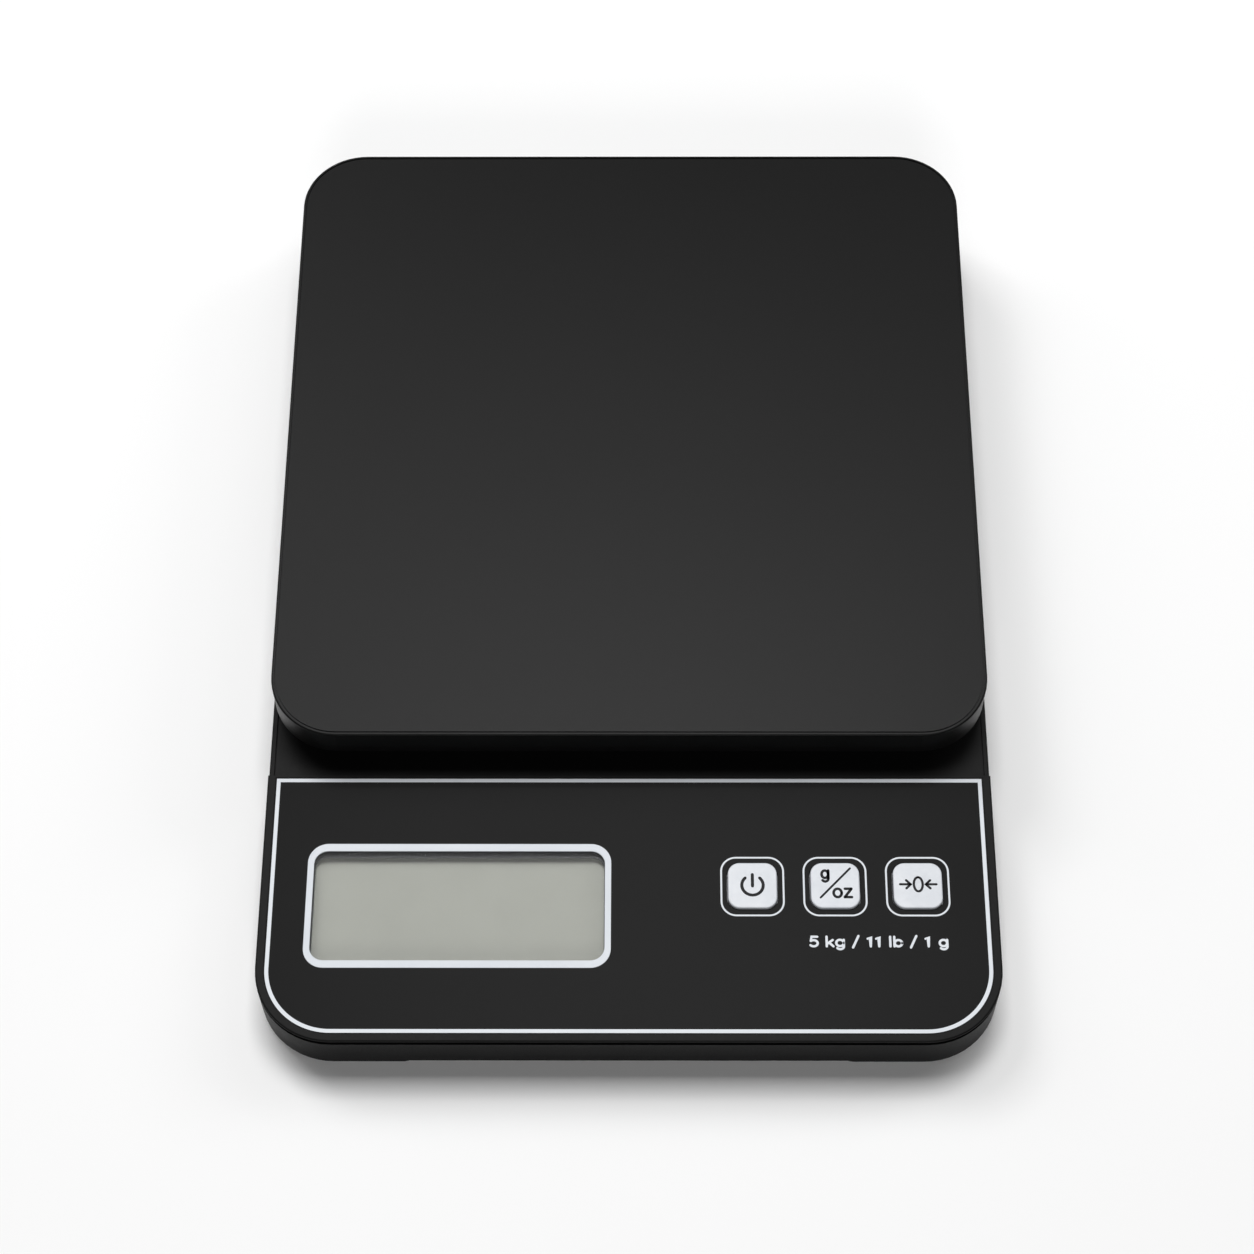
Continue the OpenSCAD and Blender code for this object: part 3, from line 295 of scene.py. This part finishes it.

# foam frame between the display glass and the clear sheet, widest over the glass's rear contact row: the wide
# dark rear bar is painted shade, standing in for the shadow that the window's rear edge casts into the recess
gasket = {
    "ledge": 0.9, "play": 0.02,                # mm that the sheet lies on, and mm free beside the foam
    "gap": 0.04,                               # mm free above and below it
    "side": 0.15, "front": 0.6, "rear": 1.4,   # mm wide
    "corner": 3.2, "innerCorner": 2.6,         # mm
    "lip": 0.2, "setBack": 0.35,               # lip in mm, foot as a share of the width
}
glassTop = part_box("lcd_glass")[1].z / mm
sheetLow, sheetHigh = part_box("display_lens")
halfX = (sheetHigh.x - sheetLow.x) / 2 / mm - gasket["ledge"] - gasket["play"]
halfY = (sheetHigh.y - sheetLow.y) / 2 / mm - gasket["ledge"] - gasket["play"]
middle = np.array([sheetLow.x + sheetHigh.x, sheetLow.y + sheetHigh.y]) / 2 / mm
outer = closedOutline(halfX, -halfY, halfY, gasket["corner"], gasket["corner"], steps=12)[0] + middle
inner = closedOutline(halfX - gasket["side"], gasket["front"] - halfY, halfY - gasket["rear"],
                      gasket["innerCorner"], gasket["innerCorner"], steps=12)[0] + middle
# (share of the way from the outer to the inner outline, height) of its section, carried round the opening:
# a thin lip against the clear sheet, and below it the foam slopes back to a narrow foot on the glass
low, high = glassTop + gasket["gap"], sheetLow.z / mm - gasket["gap"]
section = np.array([(0, low), (0, high), (1, high), (1, high - gasket["lip"]), (gasket["setBack"], low)])
flat = outer[:, None, :] + section[None, :, 0, None] * (inner - outer)[:, None, :]
tall = np.broadcast_to(section[None, :, 1, None], (*flat.shape[:2], 1))
loopPiece("display_gasket_shade", np.concatenate([flat, tall], -1), "base", "grey_elastomer", "foamPaintedShade")
print("display dressed")


def arc(cx, cy, rx, ry, start, end, steps):
    # (cx + rx cos t, cy + ry sin t) from start to end in degrees
    t = np.radians(np.linspace(start, end, steps + 1))
    return np.stack([cx + rx * np.cos(t), cy + ry * np.sin(t)], -1)


penTip = {
    "ends": (90, 75, 55, 30),   # degrees round the half circle that ends a stroke
    "blunt": 0.02,              # the stroke's last width, as a share of the whole
    "flat": 0.9,                # how far the ink lies flat before it slopes, as a share of the half-width
    "sharpest": -0.2,           # cosine of the sharpest bend that still gets its full outer corner
}


def penStroke(path, width, z, height):
    # ribbon along a path, w/2 to each side, and sqrt((w/2)^2 - s^2) at s beyond an end, which makes it round
    path = np.asarray(path, float)
    half = width / 2
    ends = half * np.sin(np.radians(penTip["ends"]))
    startWay = (path[0] - path[1]) / np.linalg.norm(path[0] - path[1])
    endWay = (path[-1] - path[-2]) / np.linalg.norm(path[-1] - path[-2])
    line = np.concatenate([path[0] + startWay * ends[:, None], path, path[-1] + endWay * ends[::-1, None]])
    reach = np.concatenate([np.sqrt(half ** 2 - ends ** 2), np.full(len(path), half),
                            np.sqrt(half ** 2 - ends[::-1] ** 2)])
    reach = np.maximum(reach, half * penTip["blunt"])
    step = np.gradient(line, axis=0)
    step /= np.linalg.norm(step, axis=1)[:, None]
    side = np.stack([-step[:, 1], step[:, 0]], -1)
    # keep the pen's width round a bend: divide by the cosine of half the turn
    legs = np.diff(line, axis=0)
    legs /= np.linalg.norm(legs, axis=1)[:, None]
    turn = np.clip((legs[1:] * legs[:-1]).sum(1), penTip["sharpest"], 1)
    reach[1:-1] = reach[1:-1] / np.sqrt((1 + turn) / 2)
    section = np.array([(-1, 0), (-penTip["flat"], 1), (penTip["flat"], 1), (1, 0)])
    flat = line[:, None, :] + section[None, :, 0, None] * reach[:, None, None] * side[:, None, :]
    high = np.broadcast_to(z + height * section[None, :, 1, None], (*flat.shape[:2], 1))
    points = np.concatenate([flat, high], -1)
    # quads along the ribbon, and one over each of its ends
    nu, nv = points.shape[:2]
    u, v = np.arange(nu - 1)[:, None], np.arange(nv)[None, :]
    nextV = (v + 1) % nv
    faces = np.stack([u * nv + v, u * nv + nextV, (u + 1) * nv + nextV, (u + 1) * nv + v], -1).reshape(-1, 4)
    firstEnd, lastEnd = np.arange(nv)[::-1], (nu - 1) * nv + np.arange(nv)
    return points.reshape(-1, 3), np.concatenate([faces, [firstEnd, lastEnd]])


# plain letters as pen strokes in a box one capital high, and how far it is to the next letter
glyphs = {
    "1": ([[(0.02, 0.80), (0.22, 1.0), (0.22, 0.0)]], 0.62),
    "5": ([[(0.55, 1.0), (0.14, 1.0), (0.08, 0.56)], arc(0.28, 0.32, 0.30, 0.32, 128, -140, 24)], 0.82),
    "b": ([[(0.0, 1.0), (0.0, 0.0)], arc(0.29, 0.33, 0.27, 0.33, 0, 360, 32)], 0.78),
    "g": ([arc(0.27, 0.35, 0.27, 0.33, 0, 360, 32), [(0.55, 0.68), (0.55, 0.0)],
           arc(0.28, 0.0, 0.27, 0.3, 0, -140, 16)], 0.80),
    "k": ([[(0.0, 1.0), (0.0, 0.0)], [(0.44, 0.66), (0.03, 0.26)], [(0.17, 0.4), (0.48, 0.0)]], 0.70),
    "l": ([[(0.0, 1.0), (0.0, 0.0)]], 0.30),
    "o": ([arc(0.3, 0.34, 0.3, 0.34, 0, 360, 32)], 0.84),
    "z": ([[(0.02, 0.68), (0.5, 0.68)], [(0.5, 0.68), (0.0, 0.0)], [(0.0, 0.0), (0.52, 0.0)]], 0.74),
    "/": ([[(0.0, -0.12), (0.42, 1.08)]], 0.66),
    " ": ([], 0.42),
}


def writeLine(text, x, y, height, wide=1.0):
    # strokes of a line of letters from (x, y) on: glyph * (wide * height, height) + (x, y)
    strokes = []
    for letter in text:
        shapes, advance = glyphs[letter]
        strokes += [np.asarray(path, float) * (wide * height, height) + (x, y) for path in shapes]
        x += advance * wide * height
    return strokes


# strokes take the ink thicknesses in turn, so that where two cross their tops don't share a plane
rating = {"text": "5 kg / 11 lb / 1 g", "right": 71.7, "baseline": -94.85, "height": 2.3, "wide": 1.33,
          "pen": 0.56, "ink": (0.03, 0.0336, 0.0372)}
strokes = writeLine(rating["text"], 0, rating["baseline"], rating["height"], rating["wide"])
farthest = max(path[:, 0].max() for path in strokes) + rating["pen"] / 2
strokes = [path + (rating["right"] - farthest, 0) for path in strokes]
parts = [penStroke(path, rating["pen"], filmTop, ink) for path, ink in zip(strokes, cycle(rating["ink"]))]
meshPiece("rating_numbers", *joinParts(parts), "base", "white_trim", "whiteInk")

keyMarks = {
    "ink": 0.03,
    "power": {"pen": 0.72, "radius": 2.42, "open": (133, 407), "bar": (2.62, -0.2)},
    "units": {"pen": 0.64, "slash": ((-3.35, -3.0), (3.45, 4.15)), "slashPen": 0.5,
              "g": (-3.0, 1.75), "gHeight": 2.75, "oz": (-0.4, -2.9), "ozHeight": 3.0},
    "tare": {"pen": 0.56, "centre": (0.1, 0.25), "rx": 1.0, "ry": 1.72,
             "tip": 1.72, "tail": 4.1, "head": 0.98},
}


def keyStrokes(key):
    # the mark of a key as (strokes, pen) pairs, in mm from the key's middle
    m = keyMarks[key]
    if key == "power":
        ring = arc(0, 0, m["radius"], m["radius"], *m["open"], steps=40)
        bar = [(0, y) for y in m["bar"]]
        return [([ring, bar], m["pen"])]
    if key == "units":
        letters = writeLine("g", *m["g"], m["gHeight"]) + writeLine("oz", *m["oz"], m["ozHeight"])
        return [(letters, m["pen"]), ([m["slash"]], m["slashPen"])]
    cx, cy = m["centre"]
    strokes = [arc(cx, cy, m["rx"], m["ry"], 90, 450, steps=40)]
    for s in (-1, 1):
        tip, back = cx + s * m["tip"], cx + s * (m["tip"] + m["head"])
        strokes.append([(cx + s * m["tail"], cy), (tip, cy)])
        strokes.append([(back, cy + m["head"]), (tip, cy), (back, cy - m["head"])])
    return [(strokes, m["pen"])]


for key in keys:
    low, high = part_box("button_" + key)
    middle = ((low.x + high.x) / 2 / mm, (low.y + high.y) / 2 / mm)
    parts = [penStroke(np.asarray(path, float) + middle, pen, high.z / mm, keyMarks["ink"])
             for strokes, pen in keyStrokes(key) for path in strokes]
    meshPiece("key_mark_" + key, *joinParts(parts), key + "_key", "black_epoxy", "blackInk")
print("marks drawn on the keys")

studio = {
    "floor": {"colour": "#fbfbfb", "half": 3.0, "cells": 8},   # half its width in m
    "lampSide": 0.77,                                          # m, square
    "lamps": (                                                 # name, place in m, watts
        ("rearLeftBox", (-1.469, 0.848, 1.060), 3.2),
        ("rearRightBox", (1.469, 0.848, 1.060), 5.3),
        ("frontFill", (0.000, -1.696, 1.060), 10.7),
        ("highLeftBox", (-0.860, 1.025, 1.486), 12.2),
        ("highRightBox", (0.860, 1.025, 1.486), 2.6),
        ("overheadBox", (0.000, 0.618, 1.902), 22.8),
    ),
    "world": 0.0,                                              # all the light comes from the lamps
}


def makeFloor(f):
    # flat matt paper: z = 0 over a square grid of (x, y)
    side = f["cells"] + 1
    line = np.linspace(-f["half"], f["half"], side)
    x, y = np.meshgrid(line, line, indexing="ij")
    points = np.stack([x, y, np.zeros_like(x)], -1).reshape(-1, 3)
    i, j = np.arange(f["cells"])[:, None], np.arange(f["cells"])[None, :]
    faces = np.stack([i * side + j, (i + 1) * side + j, (i + 1) * side + j + 1, i * side + j + 1], -1)
    mesh = bpy.data.meshes.new("floor")
    mesh.from_pydata(points.tolist(), [], faces.reshape(-1, 4).tolist())
    mesh.materials.append(newMaterial(
        "paperSweep", {"Base Color": linear(f["colour"]), "Roughness": 0.9, "IOR": 1.5})[0])
    floor = bpy.data.objects.new("floor", mesh)
    bpy.context.scene.collection.objects.link(floor)


def makeLamp(name, place, watts, side):
    # square lamp that faces the origin: its -Z lies along the way there
    data = bpy.data.lights.new(name, "AREA")
    data.shape = "SQUARE"
    data.size = side
    data.energy = watts
    lamp = bpy.data.objects.new(name, data)
    turn = (-Vector(place)).to_track_quat("-Z", "Y").to_matrix().to_4x4()
    lamp.matrix_world = Matrix.Translation(place) @ turn
    bpy.context.scene.collection.objects.link(lamp)


makeFloor(studio["floor"])
for name, place, watts in studio["lamps"]:
    makeLamp(name, place, watts, studio["lampSide"])
world = bpy.data.worlds.new("studioRoom")
bpy.context.scene.world = world
world.use_nodes = True
world.node_tree.nodes.clear()
light = addNode(world.node_tree, "ShaderNodeBackground", {"Color": (1, 1, 1, 1), "Strength": studio["world"]})
addNode(world.node_tree, "ShaderNodeOutputWorld", {}, {"Surface": (light, 0)})
bpy.context.scene.view_settings.view_transform = "Standard"
print("studio lit")
